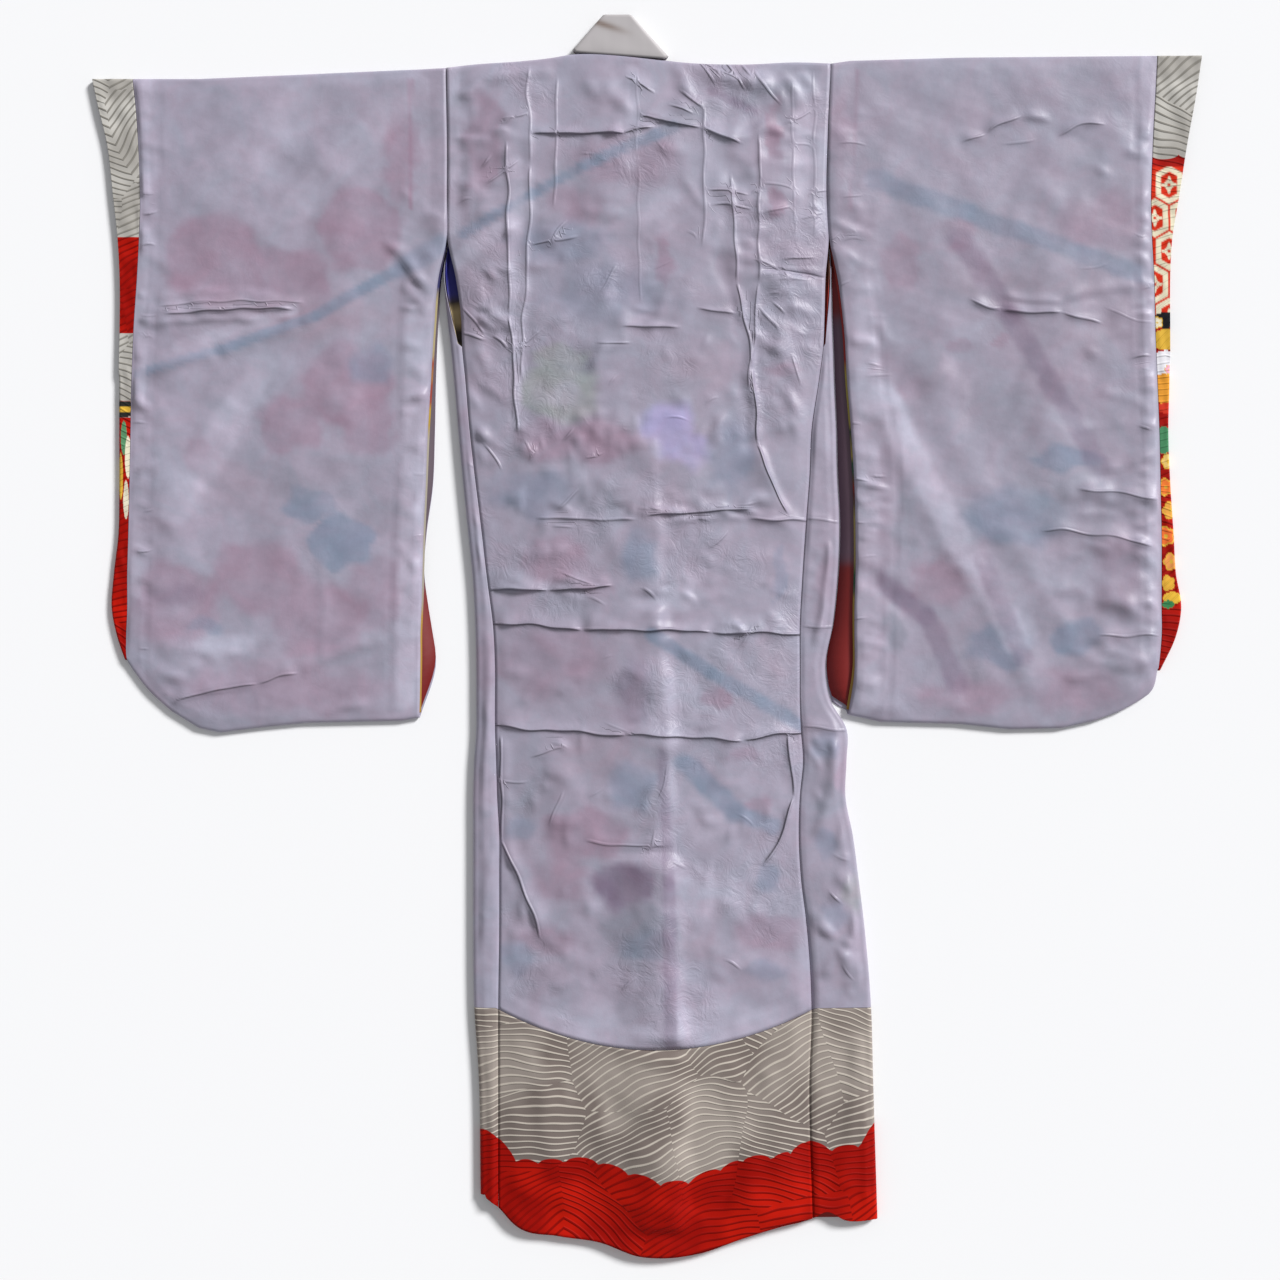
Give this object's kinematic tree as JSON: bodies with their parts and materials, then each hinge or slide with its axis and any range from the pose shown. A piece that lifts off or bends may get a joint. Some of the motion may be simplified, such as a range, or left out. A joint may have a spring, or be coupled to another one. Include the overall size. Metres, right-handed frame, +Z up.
{
  "type": "infant kimono laid flat",
  "caption": "Infant's lined silk kimono with long sleeves, turned inside out and laid flat on its front, back lining up.",
  "frame": {"origin": "on the floor under the middle of the laid-out garment's outline", "axes": "+Z up from the floor it lies on, +Y from the hem towards the collar, +X towards the right sleeve as seen from above"},
  "size_m": [1.0401, 1.1627, 0.0221],
  "materials": {
    "lining": "soft",
    "facing": "soft",
    "outer": "soft",
    "collar": "soft"
  },
  "bodies": {
    "root": {"back_lining": "lining", "back_hem_facing": "facing", "back_outer": "outer", "front_left_lining": "lining", "front_left_hem_facing": "facing", "front_left_outer": "outer", "front_right_lining": "lining", "front_right_hem_facing": "facing", "front_right_outer": "outer", "overlap_left_lining": "lining", "overlap_left_outer": "outer", "overlap_right_lining": "lining", "overlap_right_outer": "outer", "collar": "collar", "sleeve_left_lining": "lining", "sleeve_left_outer": "outer", "sleeve_left_cuff_facing": "facing", "sleeve_right_lining": "lining", "sleeve_right_outer": "outer", "sleeve_right_cuff_facing": "facing"}
  },
  "joints": []
}
